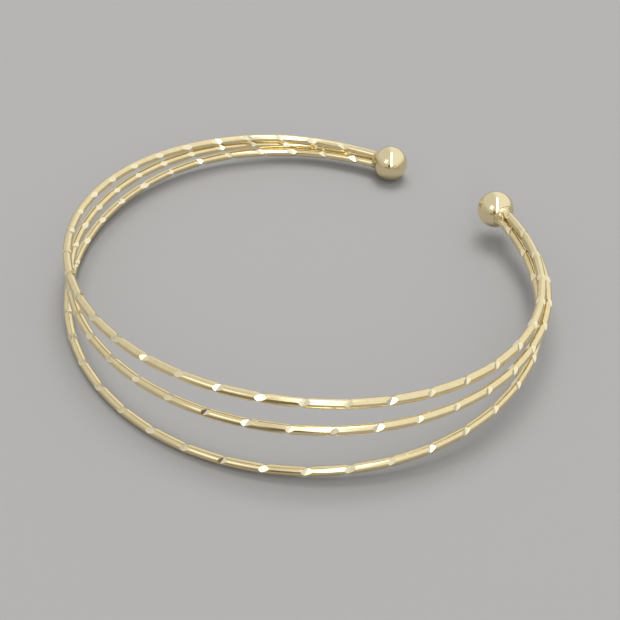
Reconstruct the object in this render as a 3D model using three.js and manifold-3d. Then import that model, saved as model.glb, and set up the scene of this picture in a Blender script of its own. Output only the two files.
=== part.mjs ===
// Open cuff bangle: three diamond-cut round wires, bent to one C and fanned apart opposite the
// opening, with both ends of all three brazed into a hollow ball.
//
// Millimetres, +Z up. The bangle lies flat: the lower wire rests on Z = 0 and the opening faces +Y.
// The origin is at the middle of the footprint, on the surface that the bangle lies on.

import * as THREE from "three";
import { mergeVertices } from "three/addons/utils/BufferGeometryUtils.js";
import Module from "manifold-3d";

const wasm = await Module();
wasm.setup();

// ---------------------------------------------------------------- driving dimensions

// The C that all three wires follow, seen from above.
const MEAN_RADIUS = 30.3;
const OVALNESS = 0.031;          // share of the mean radius: wider than it is deep
const EGG = 0.007;               // share of the mean radius: fuller at the front
const OPENING = 14.4;            // clear distance between the two balls

// Wire stock and its diamond-cut notches.
const WIRE_DIAMETER = 1.15;
const NOTCH_PITCH = 4.8;
const NOTCH_WIDTH = 1.25;        // along the wire, at the surface
const NOTCH_DEPTH = 0.16;        // at the middle of each flat
const NOTCH_FLATS = 4;           // flats around the wire in one notch
const NOTCH_LEAN = 35;           // degrees from square across, seen from outside the ring
const NOTCH_CLEAR_OF_BALL = 0.9;

// Ball ends.
const BALL_DIAMETER = 5;
const BALL_WALL = 0.35;
const LEFT_BALL_LIFT = 0;        // ball's lowest point above the surface
const RIGHT_BALL_LIFT = 2.35;
const WIRE_END_PAST_WALL = 1.2;

// Brazing between the wires and the edge of the ball's hole.
const BRAZE_RING = 0.2;          // thinnest brazing outside the bundle
const BRAZE_PROUD = 0.3;         // how far the fillet climbs along the wires

// Clearances.
const WIRE_TO_WIRE = 0.04;
const WIRE_TO_BRAZE = 0.04;
const BRAZE_TO_BALL = 0.04;

// How each wire leaves the shared C. slot is the wire's place in the bundle, in degrees from straight
// outwards. frontGap is the clear height above the wire below it at the front, reach moves the front
// outwards, shift moves the front sideways and sideRise lifts the right side.
const WIRES = [
  { name: "lower", slot: 210, frontGap: 0, reach: 1.1, shift: 1, sideRise: 0, firstNotch: 5.1 },
  { name: "middle", slot: 330, frontGap: 4.8, reach: 0.25, shift: 0.95, sideRise: 1.2, firstNotch: 2.25 },
  { name: "upper", slot: 90, frontGap: 1.6, reach: -0.75, shift: -0.85, sideRise: 1.05, firstNotch: 2.4 },
];
const BUNDLE_HOLD = 13.9;        // how far in from the balls the bundle is half loose
const BUNDLE_RELEASE = 4;        // how suddenly it comes loose there
const HALF_LOOSE_SPREAD = 0.56;  // share of the bundle's pitch that the fan has opened there
const LOWER_DROP = 1.2;          // how early the lower wire comes down to the surface

// Fineness of the faceted surfaces and of the sums behind them.
const WIRE_SIDES = 8;
const WIRE_STEPS = 96;
const WIRE_STEPS_IN_BRAZING = 8;
const BALL_SEGMENTS = 24;
const BALL_ARC_STEPS = 10;
const BRAZE_SEGMENTS = 16;
const PATH_LENGTH_DIVISIONS = 600;
const BALL_ANGLE_ROUNDS = 12;
const MERGE_DISTANCE = 1e-4;
const CUTTER_PAST_SURFACE = 0.2;

// ---------------------------------------------------------------- values worked out from them

const wireRadius = WIRE_DIAMETER / 2;
const ballRadius = BALL_DIAMETER / 2;
const bundlePitch = WIRE_DIAMETER + WIRE_TO_WIRE;
const bundleOffset = bundlePitch / Math.sqrt(3);
const brazeRadius = bundleOffset + wireRadius + WIRE_TO_BRAZE + BRAZE_RING;
const holeRadius = brazeRadius + BRAZE_TO_BALL;
const cavityRadius = ballRadius - BALL_WALL;
const wireStop = cavityRadius - WIRE_END_PAST_WALL;   // wire end's distance from the ball's centre

// Radius of the C at an angle from the middle of the opening, anticlockwise from above.
function ringRadius(angle) {
  return MEAN_RADIUS * (1 - OVALNESS * Math.cos(2 * angle) - EGG * Math.cos(3 * angle));
}

function solveBallAngle() {
  const halfSpan = (OPENING + BALL_DIAMETER) / 2;
  let angle = 0;
  for (let round = 0; round < BALL_ANGLE_ROUNDS; round += 1) {
    angle = Math.asin(halfSpan / ringRadius(angle));
  }
  return angle;
}

const ballAngle = solveBallAngle();
const ballX = ringRadius(ballAngle) * Math.sin(ballAngle);
const ballY = ringRadius(ballAngle) * Math.cos(ballAngle);
const ballHeight = { left: ballRadius + LEFT_BALL_LIFT, right: ballRadius + RIGHT_BALL_LIFT };
const ringDepth = ballY + ringRadius(Math.PI);
const closestFrontPitch = WIRE_DIAMETER + Math.min(...WIRES.slice(1).map((wire) => wire.frontGap));
const halfLooseOpening = (HALF_LOOSE_SPREAD * bundlePitch) / closestFrontPitch;
const fanHaste = Math.log(1 - halfLooseOpening) / Math.log(1 - BUNDLE_HOLD / ringDepth);

function mix(start, end, share) {
  return start + (end - start) * share;
}

// Height of the bundle's middle: a ball's own height at the ball, levelling off outside it.
function ballHeightAt(x) {
  const share = 0.5 + Math.tanh(x / ballX) / Math.tanh(1) / 2;
  return mix(ballHeight.left, ballHeight.right, share);
}

// 1 where the wires are held as a bundle and 0 where they are fanned out. depth is a share of the ring's.
function bundleHold(depth) {
  return 1 / (1 + ((Math.max(depth, 0) * ringDepth) / BUNDLE_HOLD) ** BUNDLE_RELEASE);
}

// How far the fan is open: 0 at the balls and 1 at the front, and wide enough where the bundle comes loose.
function fanOpening(depth) {
  return 1 - Math.max(1 - depth, 0) ** fanHaste;
}

function frontHeight(index) {
  let height = wireRadius;
  for (let below = 1; below <= index; below += 1) {
    height += WIRE_DIAMETER + WIRES[below].frontGap;
  }
  return height;
}

// ---------------------------------------------------------------- wire path

// Centreline of one wire between two angles, from the left ball round the front to the right ball.
class WirePath extends THREE.Curve {
  constructor(index, startAngle, endAngle) {
    super();
    this.wire = WIRES[index];
    this.front = frontHeight(index);
    this.startAngle = startAngle;
    this.endAngle = endAngle;
    this.arcLengthDivisions = PATH_LENGTH_DIVISIONS;
  }

  getPoint(t, target = new THREE.Vector3()) {
    const angle = mix(this.startAngle, this.endAngle, t);
    const radius = ringRadius(angle);
    const x = -radius * Math.sin(angle);
    const depth = (ballY - radius * Math.cos(angle)) / ringDepth;
    const open = fanOpening(depth);
    const across = x / MEAN_RADIUS;
    const held = bundleOffset * bundleHold(depth);
    const slot = THREE.MathUtils.degToRad(this.wire.slot);
    const outward = radius + held * Math.cos(slot) + open * (this.wire.reach + this.wire.shift * across);
    return target.set(
      -outward * Math.sin(angle),
      outward * Math.cos(angle),
      this.fanHeight(open, across, ballHeightAt(x)) + held * Math.sin(slot),
    );
  }

  // The lower wire comes down to lie on the surface; the others run straight to their front height.
  fanHeight(open, across, start) {
    if (this.wire === WIRES[0]) {
      return wireRadius + (start - wireRadius) * (1 - open) ** LOWER_DROP;
    }
    return mix(start, this.front + this.wire.sideRise * across, open);
  }
}

// Angle at which a wire is a given distance along the ring from its ball's centre.
function angleFromBall(distance) {
  return ballAngle + distance / ringRadius(ballAngle);
}

function wholeWirePath(index) {
  const start = angleFromBall(wireStop);
  return new WirePath(index, start, 2 * Math.PI - start);
}

// ---------------------------------------------------------------- solids

function toSolid(geometry) {
  const bare = geometry.index ? geometry.clone() : geometry;
  bare.deleteAttribute("normal");
  bare.deleteAttribute("uv");
  const merged = mergeVertices(bare, MERGE_DISTANCE);
  return new wasm.Manifold(new wasm.Mesh({
    numProp: 3,
    vertProperties: new Float32Array(merged.attributes.position.array),
    triVerts: new Uint32Array(merged.index.array),
  }));
}

function toGeometry(solid) {
  const mesh = solid.getMesh();
  const geometry = new THREE.BufferGeometry();
  geometry.setAttribute("position", new THREE.BufferAttribute(mesh.vertProperties, 3));
  geometry.setIndex(new THREE.BufferAttribute(mesh.triVerts, 1));
  geometry.computeVertexNormals();
  return geometry;
}

function tube(path, radius, steps) {
  const section = new THREE.Shape();
  for (let side = 0; side < WIRE_SIDES; side += 1) {
    const angle = (2 * Math.PI * side) / WIRE_SIDES;
    const move = side === 0 ? "moveTo" : "lineTo";
    section[move](radius * Math.cos(angle), radius * Math.sin(angle));
  }
  section.closePath();
  return new THREE.ExtrudeGeometry(section, { steps, extrudePath: path, bevelEnabled: false });
}

// Ring with a V inside it, whose flats cut NOTCH_DEPTH into the wire. Its axis is Y.
function notchCutter() {
  const cornerShare = 1 / Math.cos(Math.PI / NOTCH_FLATS);
  const bottom = wireRadius - NOTCH_DEPTH;
  const top = wireRadius + CUTTER_PAST_SURFACE;
  const halfWidth = ((NOTCH_WIDTH / 2) * (top - bottom)) / NOTCH_DEPTH;
  const profile = [
    new THREE.Vector2(bottom * cornerShare, 0),
    new THREE.Vector2(top * cornerShare, -halfWidth),
    new THREE.Vector2(top * cornerShare, halfWidth),
    new THREE.Vector2(bottom * cornerShare, 0),
  ];
  return new THREE.LatheGeometry(profile, NOTCH_FLATS);
}

// Places the cutter across the wire, with its top moved forwards by the lean.
function notchPlacement(path, share) {
  const along = path.getTangentAt(share);
  const outwards = new THREE.Vector3().crossVectors(along, new THREE.Vector3(0, 0, 1)).normalize();
  const up = new THREE.Vector3().crossVectors(outwards, along).normalize();
  const lean = Math.tan(THREE.MathUtils.degToRad(NOTCH_LEAN));
  const shear = new THREE.Matrix4().set(1, 0, 0, 0, 0, 1, lean, 0, 0, 0, 1, 0, 0, 0, 0, 1);
  return new THREE.Matrix4()
    .makeBasis(outwards, along, up)
    .setPosition(path.getPointAt(share))
    .multiply(shear);
}

function wireGeometry(index) {
  const path = wholeWirePath(index);
  const length = path.getLength();
  const keepClear = ballRadius - wireStop + NOTCH_CLEAR_OF_BALL;
  let solid = toSolid(tube(path, wireRadius, WIRE_STEPS));
  let place = WIRES[index].firstNotch - wireStop;
  while (place < length - keepClear) {
    if (place > keepClear) {
      const cutter = notchCutter().applyMatrix4(notchPlacement(path, place / length));
      solid = solid.subtract(toSolid(cutter));
    }
    place += NOTCH_PITCH;
  }
  return toGeometry(solid);
}

// Hollow ball with one hole, on the Y axis, and the hole at its -Y side.
function ballGeometry() {
  const holeAtCavity = Math.asin(holeRadius / cavityRadius);
  const holeAtOutside = Math.asin(holeRadius / ballRadius);
  const profile = [];
  for (let step = 0; step <= BALL_ARC_STEPS; step += 1) {
    const fromTop = ((Math.PI - holeAtCavity) * step) / BALL_ARC_STEPS;
    profile.push(new THREE.Vector2(cavityRadius * Math.sin(fromTop), cavityRadius * Math.cos(fromTop)));
  }
  for (let step = 0; step <= BALL_ARC_STEPS; step += 1) {
    const fromTop = ((Math.PI - holeAtOutside) * (BALL_ARC_STEPS - step)) / BALL_ARC_STEPS;
    profile.push(new THREE.Vector2(ballRadius * Math.sin(fromTop), ballRadius * Math.cos(fromTop)));
  }
  profile[0].x = 0;
  profile[profile.length - 1].x = 0;
  return new THREE.LatheGeometry(profile, BALL_SEGMENTS);
}

// Plug that fills the hole and rises in a low cone along the wires, before the wires are cut out.
function brazePlugGeometry() {
  const rim = Math.sqrt(ballRadius ** 2 - brazeRadius ** 2);
  const back = Math.sqrt(cavityRadius ** 2 - brazeRadius ** 2);
  const profile = [
    new THREE.Vector2(0, -rim - BRAZE_PROUD),
    new THREE.Vector2(bundleOffset + wireRadius, -rim - BRAZE_PROUD / 2),
    new THREE.Vector2(brazeRadius, -rim),
    new THREE.Vector2(brazeRadius, -back),
    new THREE.Vector2(0, -back),
  ];
  return new THREE.LatheGeometry(profile, BRAZE_SEGMENTS);
}

// Ball centre, and the turn that points its hole along the bundle of wires.
function ballPlacement(side) {
  const sign = side === "left" ? -1 : 1;
  const centre = new THREE.Vector3(sign * ballX, ballY, ballHeight[side]);
  const entryAngle = -sign * angleFromBall(ballRadius);
  const entry = new THREE.Vector3();
  WIRES.forEach((wire, index) => {
    entry.add(new WirePath(index, entryAngle, entryAngle).getPoint(0));
  });
  entry.divideScalar(WIRES.length);
  const away = centre.clone().sub(entry).normalize();
  const turn = new THREE.Quaternion().setFromUnitVectors(new THREE.Vector3(0, 1, 0), away);
  return new THREE.Matrix4().compose(centre, turn, new THREE.Vector3(1, 1, 1));
}

// Space that the three wires take up in one ball's brazing, clearance included.
function bundleSpace(side, placement) {
  const near = side === "left" ? ballAngle : -ballAngle;
  const far = side === "left" ? angleFromBall(2 * ballRadius) : -angleFromBall(2 * ballRadius);
  const core = new THREE.CylinderGeometry(bundlePitch / 3, bundlePitch / 3, 4 * ballRadius, BRAZE_SEGMENTS);
  let space = toSolid(core.applyMatrix4(placement));
  WIRES.forEach((wire, index) => {
    const path = new WirePath(index, near, far);
    const room = tube(path, wireRadius + WIRE_TO_BRAZE, WIRE_STEPS_IN_BRAZING);
    space = space.add(toSolid(room));
  });
  return space;
}

function brazeGeometry(side) {
  const placement = ballPlacement(side);
  const plug = toSolid(brazePlugGeometry().applyMatrix4(placement));
  return toGeometry(plug.subtract(bundleSpace(side, placement)));
}

// ---------------------------------------------------------------- materials and assembly

const wireGold = new THREE.MeshStandardMaterial({ color: 0xd8c083, roughness: 0.18, metalness: 1 });
const ballGold = new THREE.MeshStandardMaterial({ color: 0xdcc68c, roughness: 0.08, metalness: 1 });
const brazeGold = new THREE.MeshStandardMaterial({ color: 0xd2b878, roughness: 0.35, metalness: 1 });

function named(name, geometry, material) {
  const mesh = new THREE.Mesh(geometry, material);
  mesh.name = name;
  return mesh;
}

function buildBallEnd(side) {
  const group = new THREE.Group();
  const ball = named(`${side}_ball`, ballGeometry(), ballGold);
  ball.applyMatrix4(ballPlacement(side));
  group.add(ball);
  group.add(named(`${side}_brazing`, brazeGeometry(side), brazeGold));
  return group;
}

function buildBangle() {
  const bangle = new THREE.Group();
  WIRES.forEach((wire, index) => bangle.add(named(`${wire.name}_wire`, wireGeometry(index), wireGold)));
  bangle.add(buildBallEnd("left"));
  bangle.add(buildBallEnd("right"));
  const box = new THREE.Box3().setFromObject(bangle, true);
  bangle.position.set(-(box.min.x + box.max.x) / 2, -(box.min.y + box.max.y) / 2, -box.min.z);
  return bangle;
}

export default buildBangle();
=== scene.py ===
import math

import bpy
import numpy as np
from mathutils import Matrix, Vector


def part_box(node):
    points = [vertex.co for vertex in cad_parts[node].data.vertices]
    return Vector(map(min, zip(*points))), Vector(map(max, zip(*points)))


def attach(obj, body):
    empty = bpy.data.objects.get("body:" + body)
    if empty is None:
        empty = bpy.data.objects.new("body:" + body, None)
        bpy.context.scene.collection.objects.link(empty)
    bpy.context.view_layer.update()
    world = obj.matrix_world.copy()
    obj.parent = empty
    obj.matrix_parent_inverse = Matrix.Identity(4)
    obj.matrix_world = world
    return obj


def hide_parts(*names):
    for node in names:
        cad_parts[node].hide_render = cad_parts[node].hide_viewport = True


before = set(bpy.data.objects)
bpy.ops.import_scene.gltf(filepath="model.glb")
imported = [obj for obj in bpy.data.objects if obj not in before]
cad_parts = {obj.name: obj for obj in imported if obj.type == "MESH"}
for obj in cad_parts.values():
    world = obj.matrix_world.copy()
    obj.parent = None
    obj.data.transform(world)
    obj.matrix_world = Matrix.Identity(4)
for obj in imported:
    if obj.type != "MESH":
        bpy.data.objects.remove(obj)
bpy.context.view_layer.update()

MM = 0.001

# ---------------------------------------------------------------- sizes, in millimetres

# The C that the wires follow, as the solid model has it.
MEAN_RADIUS = 30.3
OVALNESS = 0.031                 # how much wider than deep it is
EGG = 0.007                      # how egg-shaped it is
OPENING = 14.4

WIRE_DIAMETER = 1.15
WIRE_GAP = 0.04
NOTCH_PITCH = 4.8
NOTCH_WIDTH = 1.25
NOTCH_DEPTH = 0.16
NOTCH_LEAN = math.radians(35)
NOTCH_CLEAR_OF_BALL = 0.9

BALL_DIAMETER = 5.0
BALL_WALL = 0.35
LEFT_BALL_LIFT = 0.0
RIGHT_BALL_LIFT = 2.35
WIRE_END_PAST_WALL = 1.2
HOLE_EDGE_ROUND = 0.06
HOLE_EDGE_BULGE = 0.7            # share of the rounding that the middle of the edge has gone down

# How the wire came off the bending and cutting tools.
STRAIGHTNESS = 0.35              # 0 is an even bend, 1 is straight from notch to notch
KINK = 0.02
KINK_SEED = 11
TURN_WOBBLE = math.radians(5)
SIZE_WOBBLE = 0.05               # share of a notch's size

BRAZE_RING = 0.2
BRAZE_CLIMB = 0.55
BRAZE_PLUG = 0.3
BRAZE_SKIN = 0.03                # least solder over a wire, and past the plug in the hole
BRAZE_NECK = 0.28                # how far past the wires' middles the solder reaches between them
BRAZE_TAPER = 2.4                # how hollow the fillet's slope is

# slot is a wire's place in the bundle, in degrees from straight outwards. front_gap is the clear height
# above the wire below it at the front. reach, shift and side_rise move its front out, sideways and up.
# first_notch is where the row of notches starts, from the left ball's middle. Those too near are left out.
WIRES = (
    dict(
        name="lower_wire", slot=210, front_gap=0.0, reach=1.1, shift=1.0, side_rise=0.0, first_notch=5.1
    ),
    dict(
        name="middle_wire", slot=330, front_gap=4.8, reach=0.25, shift=0.95, side_rise=1.2, first_notch=2.25
    ),
    dict(
        name="upper_wire", slot=90, front_gap=1.6, reach=-0.75, shift=-0.85, side_rise=1.05, first_notch=2.4
    ),
)
SIDES = {"left": -1, "right": 1}

BUNDLE_HOLD = 13.9               # how far in from the balls the bundle is half loose
BUNDLE_RELEASE = 4               # how suddenly it comes loose there
HALF_LOOSE_SPREAD = 0.56         # share of the bundle's pitch that the fan has opened there
LOWER_DROP = 1.2                 # how soon the lower wire comes down to the table

# How finely the shapes are made.
BALL_ANGLE_ROUNDS = 12
CENTRELINE_POINTS = 4001
WIRE_SPACING = 0.4
WIRE_SIDES = 48
BALL_SEGMENTS = 96
BALL_ARC_STEPS = 48
BRAZE_SEGMENTS = 72
BRAZE_STEPS = 14

wire_radius = WIRE_DIAMETER / 2
ball_radius = BALL_DIAMETER / 2
bundle_pitch = WIRE_DIAMETER + WIRE_GAP
bundle_offset = bundle_pitch / math.sqrt(3)
closest_front_pitch = WIRE_DIAMETER + min(wire["front_gap"] for wire in WIRES[1:])
half_loose_opening = HALF_LOOSE_SPREAD * bundle_pitch / closest_front_pitch
braze_radius = bundle_offset + wire_radius + WIRE_GAP + BRAZE_RING
wire_stop = ball_radius - BALL_WALL - WIRE_END_PAST_WALL


# ---------------------------------------------------------------- where the wires run


def mix(start, end, share):
    """start when share is 0, end when it is 1."""
    return start + (end - start) * share


def ring_radius(angle):
    """From the middle of the C to its line, at an angle anticlockwise from the opening."""
    return MEAN_RADIUS * (1 - OVALNESS * np.cos(2 * angle) - EGG * np.cos(3 * angle))


def solve_ball_angle():
    """How far round from the opening's middle each ball's middle is."""
    angle = 0.0
    for _ in range(BALL_ANGLE_ROUNDS):
        angle = math.asin((OPENING + BALL_DIAMETER) / 2 / ring_radius(angle))
    return angle


ball_angle = solve_ball_angle()
ball_x = ring_radius(ball_angle) * math.sin(ball_angle)
ball_y = ring_radius(ball_angle) * math.cos(ball_angle)
ball_height = {"left": ball_radius + LEFT_BALL_LIFT, "right": ball_radius + RIGHT_BALL_LIFT}
ring_depth = ball_y + ring_radius(math.pi)
fan_haste = math.log(1 - half_loose_opening) / math.log(1 - BUNDLE_HOLD / ring_depth)


def box_middle(node):
    """Middle of one solid's box, in metres."""
    low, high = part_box(node)
    return (low + high) / 2


def find_ring_centre():
    """Middle of the C in the frame, in millimetres, from where the two balls are."""
    middle = (box_middle("left_ball") + box_middle("right_ball")) / 2 / MM
    return np.array([middle.x, middle.y - ball_y, 0.0])


ring_centre = find_ring_centre()


def wire_points(index, angles):
    """Points of one wire's centreline, in millimetres, at angles anticlockwise from the opening."""
    wire = WIRES[index]
    radius = ring_radius(angles)
    x = -radius * np.sin(angles)
    depth = (ball_y - radius * np.cos(angles)) / ring_depth
    across = x / MEAN_RADIUS
    opened = 1 - np.maximum(1 - depth, 0) ** fan_haste
    held = bundle_offset / (1 + (np.maximum(depth, 0) * ring_depth / BUNDLE_HOLD) ** BUNDLE_RELEASE)
    slot = math.radians(wire["slot"])
    outward = radius + held * math.cos(slot) + opened * (wire["reach"] + wire["shift"] * across)
    balls = mix(ball_height["left"], ball_height["right"], 0.5 + np.tanh(x / ball_x) / math.tanh(1) / 2)
    if index == 0:
        height = wire_radius + (balls - wire_radius) * (1 - opened) ** LOWER_DROP
    else:
        front = wire_radius + sum(WIRE_DIAMETER + w["front_gap"] for w in WIRES[1 : index + 1])
        height = mix(balls, front + wire["side_rise"] * across, opened)
    height = height + held * math.sin(slot)
    return np.stack([-outward * np.sin(angles), outward * np.cos(angles), height], -1) + ring_centre


def angle_from_ball(distance):
    """The angle of a place on the C that is so far past the left ball's middle."""
    return ball_angle + distance / ring_radius(ball_angle)


def at_lengths(line, run, places):
    """Points of a line at some places, where run gives the length up to each of its own points."""
    return np.stack([np.interp(places, run, line[:, axis]) for axis in range(3)], -1)


def notch_places(index, length):
    """Where the notches go along a wire, clear of both balls."""
    keep_clear = ball_radius - wire_stop + NOTCH_CLEAR_OF_BALL
    places = np.arange(WIRES[index]["first_notch"] - wire_stop, length - keep_clear, NOTCH_PITCH)
    return places[places > keep_clear]


def wire_line(index):
    """One wire's centreline in evenly spaced points, in millimetres, and its notch places.

    A wire bends most where a notch weakens it, so the stretches between notches are a little straighter.
    """
    start = angle_from_ball(wire_stop)
    line = wire_points(index, np.linspace(start, 2 * math.pi - start, CENTRELINE_POINTS))
    run = np.concatenate([[0], np.cumsum(np.linalg.norm(np.diff(line, axis=0), axis=1))])
    notches = notch_places(index, run[-1])
    places = np.linspace(0, run[-1], int(run[-1] / WIRE_SPACING) + 1)
    smooth = at_lengths(line, run, places)
    chance = np.random.default_rng(KINK_SEED + index)
    kinks = at_lengths(line, run, notches) + chance.uniform(-KINK, KINK, (len(notches), 3))
    straight = at_lengths(kinks, notches, places)
    inside = (places > notches[0]) & (places < notches[-1])
    return np.where(inside[:, None], mix(smooth, straight, STRAIGHTNESS), smooth), notches


# ---------------------------------------------------------------- node writing


class Value:
    """A node's output. Sums written on it add Math nodes."""

    def __init__(self, graph, socket):
        self.graph = graph
        self.socket = socket

    def __getitem__(self, name):
        return Value(self.graph, self.socket.node.outputs[name])

    def math(self, operation, *others):
        return self.graph.node("ShaderNodeMath", {"operation": operation}, dict(enumerate((self, *others))))

    def flipped(self, operation, first):
        return self.graph.node("ShaderNodeMath", {"operation": operation}, {0: first, 1: self})

    def __add__(self, other):
        return self.math("ADD", other)

    def __sub__(self, other):
        return self.math("SUBTRACT", other)

    def __mul__(self, other):
        return self.math("MULTIPLY", other)

    def __truediv__(self, other):
        return self.math("DIVIDE", other)

    def __rsub__(self, other):
        return self.flipped("SUBTRACT", other)

    __radd__ = __add__
    __rmul__ = __mul__

    def __gt__(self, other):
        return self.math("GREATER_THAN", other)


class Graph:
    """Writes nodes into one tree."""

    def __init__(self, tree):
        self.tree = tree

    def node(self, kind, settings=None, inputs=None):
        """Adds a node: its settings first, then the values or links of its sockets.

        Gives its first output, or the node itself where it has none.
        """
        node = self.tree.nodes.new(kind)
        for name, value in (settings or {}).items():
            setattr(node, name, value)
        for name, value in (inputs or {}).items():
            if isinstance(value, Value):
                self.tree.links.new(value.socket, node.inputs[name])
            else:
                node.inputs[name].default_value = value
        return Value(self, node.outputs[0]) if node.outputs else node

    def fade(self, value, start, end, low=0.0, high=1.0):
        """low before start, high after end, and a smooth change between them."""
        settings = {"interpolation_type": "SMOOTHSTEP"}
        sides = {"Value": value, "From Min": start, "From Max": end, "To Min": low, "To Max": high}
        return self.node("ShaderNodeMapRange", settings, sides)

    def vector(self, operation, first, second):
        return self.node("ShaderNodeVectorMath", {"operation": operation}, {0: first, 1: second})

    def blend(self, share, first, second):
        """Mixes two colours. A Mix node's colours are its sockets 6 and 7, and its third output."""
        return self.node("ShaderNodeMix", {"data_type": "RGBA"}, {"Factor": share, 6: first, 7: second})[2]

    def bump(self, pattern, height, strength):
        """A normal that rises with the pattern, by up to height in metres."""
        inputs = {"Strength": strength, "Distance": height, "Height": pattern}
        return self.node("ShaderNodeBump", None, inputs)


# ---------------------------------------------------------------- gold finishes

GOLD = (0.88, 0.76, 0.45, 1)
WARM_GOLD = (0.86, 0.72, 0.42, 1)
HAZY_GOLD = (0.88, 0.76, 0.48, 1)
SOLDER_GOLD = (0.80, 0.67, 0.39, 1)
CUT_GOLD = (0.95, 0.845, 0.55, 1)
PALE_CUT_GOLD = (0.97, 0.875, 0.61, 1)

# Grain of each pattern, in cells to the metre.
DRAWN_LINES = 9000
POLISH_CLOUDS = 900
TOOL_CHATTER = 6000
BUFFED_HAZE = 700
HAIRLINE_MARKS = 8000
SOLDER_RIPPLES = 3500

# How much finer a pattern is along each axis. Less than 1 stretches it.
LINE_STRETCH = (1, 1, 0.03)
MARK_STRETCH = (1, 0.15, 0.4)

# The levels of a pattern between which it fades from one look to the other.
COLOUR_FADE = (0.35, 0.65)
POLISH_FADE = (0.3, 0.7)
LINE_FADE = (0.4, 0.7)
HAZE_FADE = (0.35, 0.7)
MARK_FADE = (0.6, 0.75)

# Roughness of the plain metal, and what each pattern adds to it.
WIRE_POLISH, CLOUD_DULLNESS, LINE_DULLNESS = 0.10, 0.06, 0.05
CUT_POLISH, CHATTER_DULLNESS = 0.05, 0.05
BALL_POLISH, HAZE_DULLNESS, MARK_DULLNESS = 0.04, 0.04, 0.04
SOLDER_POLISH, RIPPLE_DULLNESS = 0.22, 0.2


def metal(name, finish):
    """A new metal material. finish gets its graph and returns the colour, roughness and normal."""
    material = bpy.data.materials.new(name)
    material.use_nodes = True
    material.node_tree.nodes.clear()
    graph = Graph(material.node_tree)
    colour, roughness, normal = finish(graph)
    inputs = {"Base Color": colour, "Roughness": roughness, "Normal": normal, "Metallic": 1.0}
    shader = graph.node("ShaderNodeBsdfPrincipled", None, inputs)
    graph.node("ShaderNodeOutputMaterial", None, {"Surface": shader})
    return material


def noise(graph, where, grain, detail):
    """Noise about 0.5 whose grain is in cells to the metre."""
    inputs = {"Vector": where, "Scale": grain, "Detail": detail, "Roughness": 0.5}
    return graph.node("ShaderNodeTexNoise", None, inputs)


def drawn_wire_finish(graph):
    """Drawn and polished wire: fine lines along it, and slightly cloudy polish."""
    lay = graph.node("ShaderNodeAttribute", {"attribute_name": "lay"})["Vector"]
    place = graph.node("ShaderNodeTexCoord")["Object"]
    lines = noise(graph, graph.vector("MULTIPLY", lay, LINE_STRETCH), DRAWN_LINES, detail=2.0)
    clouds = noise(graph, place, POLISH_CLOUDS, detail=2.0)
    colour = graph.blend(graph.fade(clouds, *COLOUR_FADE), GOLD, WARM_GOLD)
    roughness = WIRE_POLISH + CLOUD_DULLNESS * graph.fade(clouds, *POLISH_FADE)
    roughness = roughness + LINE_DULLNESS * graph.fade(lines, *LINE_FADE)
    return colour, roughness, graph.bump(lines, height=0.02 * MM, strength=0.12)


def bright_cut_finish(graph):
    """Flats left by the diamond tool: nearly mirror bright, with a trace of tool chatter."""
    place = graph.node("ShaderNodeTexCoord")["Object"]
    chatter = noise(graph, place, TOOL_CHATTER, detail=1.0)
    colour = graph.blend(graph.fade(chatter, *POLISH_FADE), CUT_GOLD, PALE_CUT_GOLD)
    roughness = CUT_POLISH + CHATTER_DULLNESS * chatter
    return colour, roughness, graph.bump(chatter, height=0.01 * MM, strength=0.1)


def mirror_ball_finish(graph):
    """Buffed ball: clear reflections, a little haze and hairline handling marks."""
    place = graph.node("ShaderNodeTexCoord")["Object"]
    haze = noise(graph, place, BUFFED_HAZE, detail=3.0)
    marks = noise(graph, graph.vector("MULTIPLY", place, MARK_STRETCH), HAIRLINE_MARKS, detail=2.0)
    colour = graph.blend(graph.fade(haze, *COLOUR_FADE), GOLD, HAZY_GOLD)
    roughness = BALL_POLISH + HAZE_DULLNESS * graph.fade(haze, *HAZE_FADE)
    roughness = roughness + MARK_DULLNESS * graph.fade(marks, *MARK_FADE)
    return colour, roughness, graph.bump(haze, height=0.02 * MM, strength=0.05)


def solder_finish(graph):
    """Gold solder as it froze: softer shine, small ripples and pits."""
    place = graph.node("ShaderNodeTexCoord")["Object"]
    ripples = noise(graph, place, SOLDER_RIPPLES, detail=3.0)
    colour = graph.blend(graph.fade(ripples, *COLOUR_FADE), SOLDER_GOLD, WARM_GOLD)
    roughness = SOLDER_POLISH + RIPPLE_DULLNESS * graph.fade(ripples, *POLISH_FADE)
    return colour, roughness, graph.bump(ripples, height=0.05 * MM, strength=0.2)


drawn_gold = metal("drawn_gold_wire", drawn_wire_finish)
bright_cut_gold = metal("bright_cut_gold", bright_cut_finish)
mirror_gold = metal("mirror_gold_ball", mirror_ball_finish)
solder_gold = metal("gold_solder", solder_finish)


# ---------------------------------------------------------------- diamond-cut wires

CREASE_ANGLE = math.radians(11)
CUTTER_REACH = 1.6               # half side of the square that the cutter clears, in wire radii
WAIST_OVERRUN = 1.4              # how much longer the cutter's waist is than the notch


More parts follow.
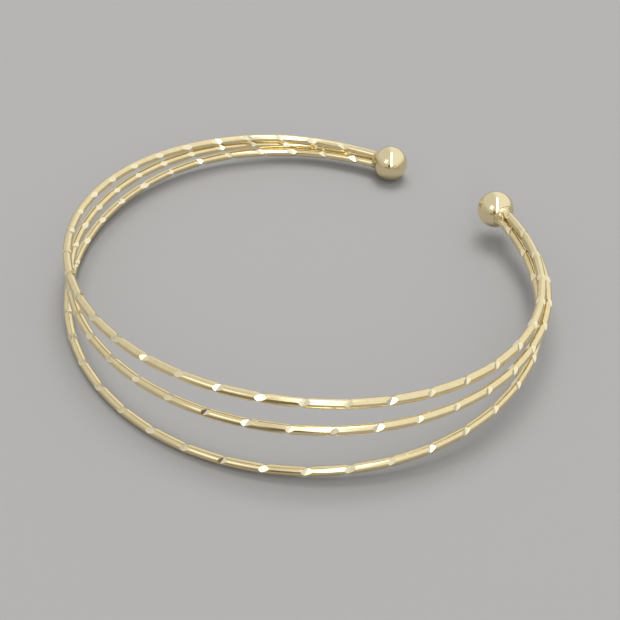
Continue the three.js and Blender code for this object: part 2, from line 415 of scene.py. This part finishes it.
def notched_wire_tree():
    """Sweeps the wire along an edge line and cuts leaning V notches with four flats each."""
    tree = bpy.data.node_groups.new("diamond_cut_wire", "GeometryNodeTree")
    graph = Graph(tree)
    tree.interface.new_socket("Geometry", in_out="OUTPUT", socket_type="NodeSocketGeometry")
    kinds = {
        "Centreline": "Geometry",
        "Wire Radius": "Float",
        "Wire Sides": "Int",
        "First Notch": "Float",
        "Notch Pitch": "Float",
        "Notch Count": "Int",
        "Notch Width": "Float",
        "Notch Depth": "Float",
        "Notch Lean": "Float",
        "Turn Wobble": "Float",
        "Size Wobble": "Float",
        "Seed": "Int",
        "Wire Finish": "Material",
        "Cut Finish": "Material",
    }
    for name, kind in kinds.items():
        tree.interface.new_socket(name, in_out="INPUT", socket_type=f"NodeSocket{kind}")
    given = graph.node("NodeGroupInput")
    radius = given["Wire Radius"]

    # The plain wire, with a coordinate that runs round it and along it.
    path = graph.node("GeometryNodeMeshToCurve", None, {"Mesh": given["Centreline"]})
    path = graph.node("GeometryNodeSetCurveNormal", {"mode": "Z_UP"}, {"Curve": path})
    along = graph.node("GeometryNodeSplineParameter")["Length"]
    path = store(graph, path, "along", "FLOAT", "POINT", along)
    section = graph.node(
        "GeometryNodeCurvePrimitiveCircle", None, {"Resolution": given["Wire Sides"], "Radius": radius}
    )
    position = graph.node("GeometryNodeInputPosition")
    section = store(graph, section, "around", "FLOAT_VECTOR", "POINT", position)
    inputs = {"Curve": path, "Profile Curve": section, "Fill Caps": True}
    wire = graph.node("GeometryNodeCurveToMesh", None, inputs)
    around = graph.node("ShaderNodeSeparateXYZ", None, {0: named(graph, "around", "FLOAT_VECTOR")})
    lay = {"X": around["X"], "Y": around["Y"], "Z": named(graph, "along", "FLOAT")}
    lay = graph.node("ShaderNodeCombineXYZ", None, lay)
    wire = store(graph, wire, "lay", "FLOAT_VECTOR", "POINT", lay)

    # One cutter for each notch, turned to the wire, each a little different.
    cutter = notch_cutter(graph, given)
    index = graph.node("GeometryNodeInputIndex")
    place = given["First Notch"] + given["Notch Pitch"] * index
    sample = graph.node("GeometryNodeSampleCurve", {"mode": "LENGTH"}, {"Curves": path, "Length": place})
    points = graph.node(
        "GeometryNodePoints", None, {"Count": given["Notch Count"], "Position": sample["Position"]}
    )
    outwards = graph.vector("CROSS_PRODUCT", sample["Tangent"], (0, 0, 1))
    turn = graph.node(
        "FunctionNodeAxesToRotation",
        {"primary_axis": "Y", "secondary_axis": "X"},
        {"Primary Axis": sample["Tangent"], "Secondary Axis": outwards},
    )
    roll = centred_chance(graph, given["Turn Wobble"], given["Seed"])
    turn = graph.node(
        "FunctionNodeRotateRotation",
        {"rotation_space": "LOCAL"},
        {"Rotation": turn, "Rotate By": graph.node("ShaderNodeCombineXYZ", None, {"Y": roll})},
    )
    size = 1 - centred_chance(graph, given["Size Wobble"], given["Seed"] + 1)
    scale = graph.node("ShaderNodeCombineXYZ", None, {"X": size, "Y": 1.0, "Z": size})
    inputs = {"Points": points, "Instance": cutter, "Rotation": turn, "Scale": scale}
    cutters = graph.node("GeometryNodeInstanceOnPoints", None, inputs)
    cutters = graph.node("GeometryNodeRealizeInstances", None, {"Geometry": cutters})
    cut = graph.node(
        "GeometryNodeMeshBoolean",
        {"operation": "DIFFERENCE", "solver": "EXACT"},
        {"Mesh 1": wire, "Mesh 2": cutters},
    )

    # Smooth wire, crisp flats.
    inputs = {"Geometry": cut, "Shade Smooth": True}
    smooth = graph.node("GeometryNodeSetShadeSmooth", {"domain": "FACE"}, inputs)
    angle = graph.node("GeometryNodeInputMeshEdgeAngle")
    crisp = graph.node(
        "GeometryNodeSetShadeSmooth",
        {"domain": "EDGE"},
        {"Geometry": smooth, "Selection": angle > CREASE_ANGLE, "Shade Smooth": False},
    )
    solid = graph.node("GeometryNodeRealizeInstances", None, {"Geometry": crisp})
    inputs = {"Geometry": solid, "Material": given["Wire Finish"]}
    solid = graph.node("GeometryNodeSetMaterial", None, inputs)
    flats = named(graph, "cut", "BOOLEAN")
    inputs = {"Geometry": solid, "Selection": flats, "Material": given["Cut Finish"]}
    solid = graph.node("GeometryNodeSetMaterial", None, inputs)
    graph.node("NodeGroupOutput", None, {"Geometry": solid})
    return tree


def store(graph, geometry, name, kind, domain, value):
    """Keeps a value on the geometry under a name."""
    inputs = {"Geometry": geometry, "Name": name, "Value": value}
    return graph.node("GeometryNodeStoreNamedAttribute", {"data_type": kind, "domain": domain}, inputs)


def named(graph, name, kind):
    """Reads a value that store kept."""
    return graph.node("GeometryNodeInputNamedAttribute", {"data_type": kind}, {"Name": name})


def centred_chance(graph, most, seed):
    """A different number for each point, from -most to most."""
    inputs = {"Min": 0.0 - most, "Max": most, "Seed": seed}
    return graph.node("FunctionNodeRandomValue", {"data_type": "FLOAT"}, inputs)["Value"]


def notch_cutter(graph, given):
    """Square ring with a V inside it. Its axis is Y, and its top is pushed along by the lean."""
    radius = given["Wire Radius"]
    slope = given["Notch Depth"] / (given["Notch Width"] / 2)
    block = square_bar(graph, given, radius * CUTTER_REACH, given["Notch Width"])
    waist_length = given["Notch Width"] * WAIST_OVERRUN
    waist = square_bar(graph, given, radius - given["Notch Depth"], waist_length, slope)
    inputs = {"Mesh 1": block, "Mesh 2": waist}
    ring = graph.node("GeometryNodeMeshBoolean", {"operation": "DIFFERENCE", "solver": "EXACT"}, inputs)
    return store(graph, ring, "cut", "BOOLEAN", "FACE", True)


def square_bar(graph, given, half_side, half_length, slope=0.0):
    """Four-sided bar along Y with its corners outwards and up, thicker from its middle by the slope."""
    bar = graph.node(
        "GeometryNodeMeshCylinder",
        None,
        {"Vertices": 4, "Side Segments": 2, "Radius": math.sqrt(2), "Depth": half_length * 2},
    )
    place = graph.node("ShaderNodeSeparateXYZ", None, {0: graph.node("GeometryNodeInputPosition")})
    size = half_side + slope * place["Z"].math("ABSOLUTE")
    up = place["Y"] * size
    lean = given["Notch Lean"].math("TANGENT")
    spot = {"X": place["X"] * size, "Y": up * lean - place["Z"], "Z": up}
    position = graph.node("ShaderNodeCombineXYZ", None, spot)
    return graph.node("GeometryNodeSetPosition", None, {"Geometry": bar, "Position": position})


def set_inputs(modifier, tree, values):
    """Sets a modifier's inputs, whose names are the tree's socket names."""
    for item in tree.interface.items_tree:
        if item.in_out == "INPUT" and item.name in values:
            modifier[item.identifier] = values[item.name]


def bake(piece):
    """Turns a piece's modifiers into its plain mesh."""
    graph = bpy.context.evaluated_depsgraph_get()
    mesh = bpy.data.meshes.new_from_object(
        piece.evaluated_get(graph), preserve_all_data_layers=True, depsgraph=graph
    )
    piece.modifiers.clear()
    piece.data = mesh
    mesh.name = piece.name


def new_piece(name, points, edges=(), faces=()):
    """An object at the origin, with its points in metres."""
    mesh = bpy.data.meshes.new(name)
    mesh.from_pydata([tuple(p) for p in points], list(edges), list(faces))
    mesh.update()
    piece = bpy.data.objects.new(name, mesh)
    bpy.context.scene.collection.objects.link(piece)
    return piece


def build_wire(index, tree):
    """One notched wire. The tree sweeps and cuts it, and the result is kept as a plain mesh."""
    name = WIRES[index]["name"]
    points, notches = wire_line(index)
    edges = [(point, point + 1) for point in range(len(points) - 1)]
    wire = new_piece(f"diamond_cut_{name}", points * MM, edges)
    modifier = wire.modifiers.new("diamond_cut", "NODES")
    modifier.node_group = tree
    values = {
        "Wire Radius": wire_radius * MM,
        "Wire Sides": WIRE_SIDES,
        "First Notch": notches[0] * MM,
        "Notch Pitch": NOTCH_PITCH * MM,
        "Notch Count": len(notches),
        "Notch Width": NOTCH_WIDTH * MM,
        "Notch Depth": NOTCH_DEPTH * MM,
        "Notch Lean": NOTCH_LEAN,
        "Turn Wobble": TURN_WOBBLE,
        "Size Wobble": SIZE_WOBBLE,
        "Seed": KINK_SEED + index,
        "Wire Finish": drawn_gold,
        "Cut Finish": bright_cut_gold,
    }
    set_inputs(modifier, tree, values)
    bake(wire)
    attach(wire, "root")
    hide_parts(name)


# ---------------------------------------------------------------- ball ends


def wires_at_ball(side):
    """Where the wires' middles pass the ball's surface, in millimetres."""
    angle = np.array([-SIDES[side] * angle_from_ball(ball_radius)])
    return [Vector(wire_points(index, angle)[0]) for index in range(len(WIRES))]


def ball_placement(side):
    """Ball centre, and the turn that points its hole along the bundle of wires, in millimetres."""
    centre = Vector((SIDES[side] * ball_x, ball_y, ball_height[side])) + Vector(ring_centre)
    entry = sum(wires_at_ball(side), Vector()) / len(WIRES)
    turn = Vector((0, 1, 0)).rotation_difference(centre - entry)
    return Matrix.Translation(centre) @ turn.to_matrix().to_4x4()


def lathe(name, rings, segments, placement):
    """Closed shape about Y, in millimetres.

    Each ring is its height, and one radius or a radius for each step round it. A zero radius is a pole.
    """
    points, faces, rows = [], [], []
    for height, radius in rings:
        if np.ndim(radius) == 0 and radius == 0:
            rows.append([len(points)] * segments)
            points.append((0, height, 0))
            continue
        radii = np.broadcast_to(radius, segments)
        rows.append(list(range(len(points), len(points) + segments)))
        for step in range(segments):
            turn = 2 * math.pi * step / segments
            points.append((radii[step] * math.cos(turn), height, radii[step] * math.sin(turn)))
    for row, after in zip(rows, rows[1:]):
        for step in range(segments):
            following = (step + 1) % segments
            corners = [row[step], row[following], after[following], after[step]]
            faces.append(list(dict.fromkeys(corners)))
    placed = [(placement @ Vector(p)) * MM for p in points]
    return new_piece(name, placed, (), faces)


def finish_piece(piece, material, node):
    """Gives the piece its metal and smooth shading, hangs it under the root body and hides the solid it
    stands for.
    """
    piece.data.materials.append(material)
    piece.data.shade_smooth()
    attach(piece, "root")
    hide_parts(node)


def build_ball(side):
    """Hollow ball with one hole, whose edge is slightly rounded."""
    hole = braze_radius + WIRE_GAP
    inner = ball_radius - BALL_WALL
    outer_hole = math.asin((hole + HOLE_EDGE_ROUND) / ball_radius)
    inner_hole = math.asin(hole / inner)
    outside = np.linspace(0, math.pi - outer_hole, BALL_ARC_STEPS)
    inside = np.linspace(math.pi - inner_hole, 0, BALL_ARC_STEPS // 2)
    rings = [(ball_radius * math.cos(a), ball_radius * math.sin(a)) for a in outside]
    edge = -math.sqrt(ball_radius**2 - hole**2) + HOLE_EDGE_ROUND
    bulge = HOLE_EDGE_ROUND * HOLE_EDGE_BULGE
    rings.append((edge - bulge, hole + HOLE_EDGE_ROUND - bulge))
    rings.append((edge, hole))
    rings += [(inner * math.cos(a), inner * math.sin(a)) for a in inside]
    rings[0] = (ball_radius, 0)
    rings[-1] = (inner, 0)
    ball = lathe(f"{side}_gold_ball", rings, BALL_SEGMENTS, ball_placement(side))
    finish_piece(ball, mirror_gold, f"{side}_ball")


def bundle_outline(side, placement, directions):
    """How far the wires reach from the ball's axis in each direction, at the ball's surface."""
    back = placement.inverted()
    reach = np.zeros(len(directions))
    for wire_middle in wires_at_ball(side):
        spot = back @ wire_middle
        ahead = spot.x * np.cos(directions) + spot.z * np.sin(directions)
        aside = spot.x**2 + spot.z**2 - ahead**2
        edge = ahead + np.sqrt(np.maximum(wire_radius**2 - aside, 0))
        reach = np.maximum(reach, np.where(aside < wire_radius**2, edge, 0))
    return reach


def build_brazing(side):
    """Solder that fills the ball's hole and climbs a little way up the wires."""
    placement = ball_placement(side)
    directions = np.arange(BRAZE_SEGMENTS) * 2 * math.pi / BRAZE_SEGMENTS
    wires = bundle_outline(side, placement, directions)
    neck = np.maximum(wires + BRAZE_SKIN, bundle_offset + BRAZE_NECK)
    foot = braze_radius + BRAZE_SKIN
    base = -math.sqrt(ball_radius**2 - braze_radius**2)
    rings = [(base + BRAZE_PLUG, 0), (base + BRAZE_PLUG, braze_radius), (base, foot)]
    for step in range(1, BRAZE_STEPS + 1):
        share = step / BRAZE_STEPS
        rings.append((base - BRAZE_CLIMB * share, mix(neck, foot, (1 - share) ** BRAZE_TAPER)))
    rings.append((base - BRAZE_CLIMB, 0))
    piece = lathe(f"{side}_solder_fillet", rings, BRAZE_SEGMENTS, placement)
    finish_piece(piece, solder_gold, f"{side}_brazing")


wire_tree = notched_wire_tree()
for wire_index in range(len(WIRES)):
    build_wire(wire_index, wire_tree)
for ball_side in SIDES:
    build_ball(ball_side)
    build_brazing(ball_side)


# ---------------------------------------------------------------- table, light and camera

# The camera. Its distance and aim are in millimetres, the aim right and ahead of the C's middle.
VIEW_AZIMUTH = math.radians(43.597)
VIEW_ELEVATION = math.radians(41.958)
VIEW_ROLL = math.radians(2.272)
VIEW_DISTANCE = 156.086
VIEW_AIM = (1.192, -3.438)
FOCAL_LENGTH = 69.653
SENSOR_WIDTH = 36.0
NEAREST_SEEN = 0.01

# The stage, in metres. Places are right, ahead and up from the frame's middle, as the camera faces.
TABLE_HALF_SIDE = 2
TABLE_COLOUR = (0.258, 0.253, 0.246)
PANEL_DISTANCE = 0.5
NEARLY_OVERHEAD = 0.8            # how upright the line to a panel is, past which its length runs ahead
LENS_PLACE = (0, -0.119, 0.104)
CARD_TINT = (1, 0.83, 0.68)
# The floor card is painted shade: a dark sheet on the table in front of the wires that only reflections
# see, while the camera sees the table lit there.
FLOOR_SHADE_CARD_HEIGHT = 0.0002
FLOOR_SHADE_CARD_CORNERS = ((-0.022, -0.034), (-0.004, -0.034), (0.005, -0.21), (-0.12, -0.21))
ONE_FACE = [(0, 1, 2, 3)]

# The soft surround. Sides run from -1 on the left to 1 on the right.
TOP_LIGHT = 0.95
TOP_HEIGHT = 0.55
LEFT_HORIZON_LIGHT, RIGHT_HORIZON_LIGHT = 0.62, 0.36
HORIZON_SIDES = (-0.3, 0.5)
LEFT_DIMMING = 0.74
DIMMING_SIDES = (-0.2, 0.12)
RAISED_AHEAD = 0.35
RAISED_RIGHT = 0.1
BLUENESS = 1.02
BACKDROP_COLOUR = (0.62, 0.62, 0.63, 1)

view_turn = Matrix.Rotation(VIEW_AZIMUTH, 4, "Z")
view_right = view_turn @ Vector((1, 0, 0))
view_ahead = view_turn @ Vector((0, 1, 0))


def stage_paint(name, colour, roughness, shine):
    """Paint for what isn't part of the bangle."""
    material = bpy.data.materials.new(name)
    material.use_nodes = True
    shader = material.node_tree.nodes["Principled BSDF"]
    shader.inputs["Base Color"].default_value = (*colour, 1)
    shader.inputs["Roughness"].default_value = roughness
    shader.inputs["Specular IOR Level"].default_value = shine
    return material


def build_table():
    """Plain matt floor."""
    half = TABLE_HALF_SIDE
    corners = [(-half, -half, 0), (half, -half, 0), (half, half, 0), (-half, half, 0)]
    table = new_piece("table", corners, (), ONE_FACE)
    table.data.materials.append(stage_paint("pale_table", TABLE_COLOUR, roughness=0.9, shine=0.0))


def facing(azimuth, elevation):
    """A panel's place, by its angles in degrees to the right of the camera and up."""
    turn, rise = math.radians(azimuth), math.radians(elevation)
    return (
        PANEL_DISTANCE * math.sin(turn) * math.cos(rise),
        -PANEL_DISTANCE * math.cos(turn) * math.cos(rise),
        PANEL_DISTANCE * math.sin(rise),
    )


def build_light(name, place, width, length, radiance, mirrored=True):
    """Flat panel that faces the bangle and doesn't show to the camera."""
    light = bpy.data.lights.new(name, "AREA")
    light.shape = "RECTANGLE"
    light.size = width
    light.size_y = length
    light.energy = radiance * math.pi * width * length
    lamp = bpy.data.objects.new(name, light)
    right, ahead, height = place
    spot = view_right * right + view_ahead * ahead + Vector((0, 0, height))
    away = spot.normalized()
    upright = Vector((0, 0, 1)) if away.z < NEARLY_OVERHEAD else view_ahead
    side = upright.cross(away).normalized()
    turn = Matrix((side, away.cross(side), away)).transposed().to_4x4()
    lamp.matrix_world = Matrix.Translation(spot) @ turn
    lamp.visible_camera = False
    lamp.visible_glossy = mirrored
    bpy.context.scene.collection.objects.link(lamp)


def lens_board(left, right, top, bottom):
    """Corners of a board square to the view, in metres to the right of the lens and down from it."""
    slope = Vector((0, -math.sin(VIEW_ELEVATION), -math.cos(VIEW_ELEVATION)))
    places = [(left, top), (right, top), (right, bottom), (left, bottom)]
    return [Vector(LENS_PLACE) + Vector((x, 0, 0)) + slope * y for x, y in places]


def build_dark_card(name, corners, shade):
    """Dark card that only shows in reflections, where polished gold needs a brown line."""
    card = new_piece(name, [view_turn @ Vector(corner) for corner in corners], (), ONE_FACE)
    colour = [shade * tint for tint in CARD_TINT]
    card.data.materials.append(stage_paint(name, colour, roughness=0.8, shine=0.5))
    card.visible_camera = False
    card.visible_diffuse = False
    card.visible_shadow = False


def build_sky():
    """Soft surround: bright overhead and ahead, dim low down, and uneven from side to side.

    The camera itself sees a plain grey.
    """
    world = bpy.data.worlds.new("studio_surround")
    bpy.context.scene.world = world
    world.use_nodes = True
    world.node_tree.nodes.clear()
    graph = Graph(world.node_tree)
    direction = graph.node("ShaderNodeTexCoord")["Generated"]
    right = graph.vector("DOT_PRODUCT", direction, view_right)["Value"]
    ahead = graph.vector("DOT_PRODUCT", direction, view_ahead)["Value"]
    up = graph.node("ShaderNodeSeparateXYZ", None, {0: direction})["Z"]
    height = up + ahead.math("MAXIMUM", 0.0) * RAISED_AHEAD + right.math("MAXIMUM", 0.0) * RAISED_RIGHT
    horizon = graph.fade(right, *HORIZON_SIDES, LEFT_HORIZON_LIGHT, RIGHT_HORIZON_LIGHT)
    dimming = graph.fade(right, *DIMMING_SIDES, LEFT_DIMMING, 1.0)
    level = graph.fade(height, 0.0, TOP_HEIGHT, horizon, TOP_LIGHT) * dimming
    colour = graph.node("ShaderNodeCombineColor", None, {0: level, 1: level, 2: level * BLUENESS})
    seen = graph.node("ShaderNodeLightPath")["Is Camera Ray"]
    colour = graph.blend(seen, colour, BACKDROP_COLOUR)
    background = graph.node("ShaderNodeBackground", None, {"Color": colour})
    graph.node("ShaderNodeOutputWorld", None, {"Surface": background})


def build_camera():
    """Camera that looks down at the bangle, slightly rolled."""
    aim = Vector(ring_centre) + view_turn @ Vector((*VIEW_AIM, 0))
    ahead = view_turn @ Vector((0, math.cos(VIEW_ELEVATION), -math.sin(VIEW_ELEVATION)))
    up = view_right.cross(ahead)
    rolled_right = math.cos(VIEW_ROLL) * view_right + math.sin(VIEW_ROLL) * up
    rolled_up = math.cos(VIEW_ROLL) * up - math.sin(VIEW_ROLL) * view_right
    data = bpy.data.cameras.new("camera")
    data.sensor_width = SENSOR_WIDTH
    data.lens = FOCAL_LENGTH
    data.clip_start = NEAREST_SEEN
    camera = bpy.data.objects.new("camera", data)
    turn = Matrix((rolled_right, rolled_up, -ahead)).transposed().to_4x4()
    camera.matrix_world = Matrix.Translation((aim - ahead * VIEW_DISTANCE) * MM) @ turn
    bpy.context.scene.collection.objects.link(camera)
    bpy.context.scene.camera = camera


build_table()
build_sky()
build_light("overhead_strip", (0.068, -0.36, 0.8), width=0.12, length=2.06, radiance=5.0)
build_light("front_left_panel", facing(-42, 42), width=0.20, length=0.22, radiance=0.8)
build_light("lens_side_panel", facing(10, 31), width=0.09, length=0.34, radiance=1.4)
build_light("shadow_window", (0.0, 0.28, 0.75), width=0.5, length=0.4, radiance=8.0, mirrored=False)
build_dark_card("lens_card", lens_board(left=-0.045, right=0.010, top=0.035, bottom=0.140), shade=0.28)
build_dark_card("low_card", lens_board(left=-0.120, right=0.010, top=0.100, bottom=0.140), shade=0.12)
# Painted shade seen only in reflections: the floor just in front of the wires shows darker in the gold than
# the table does.
build_dark_card("floor_shade_card", [(x, y, FLOOR_SHADE_CARD_HEIGHT) for x, y in FLOOR_SHADE_CARD_CORNERS], shade=0.11)
build_camera()
bpy.context.scene.view_settings.view_transform = "Standard"
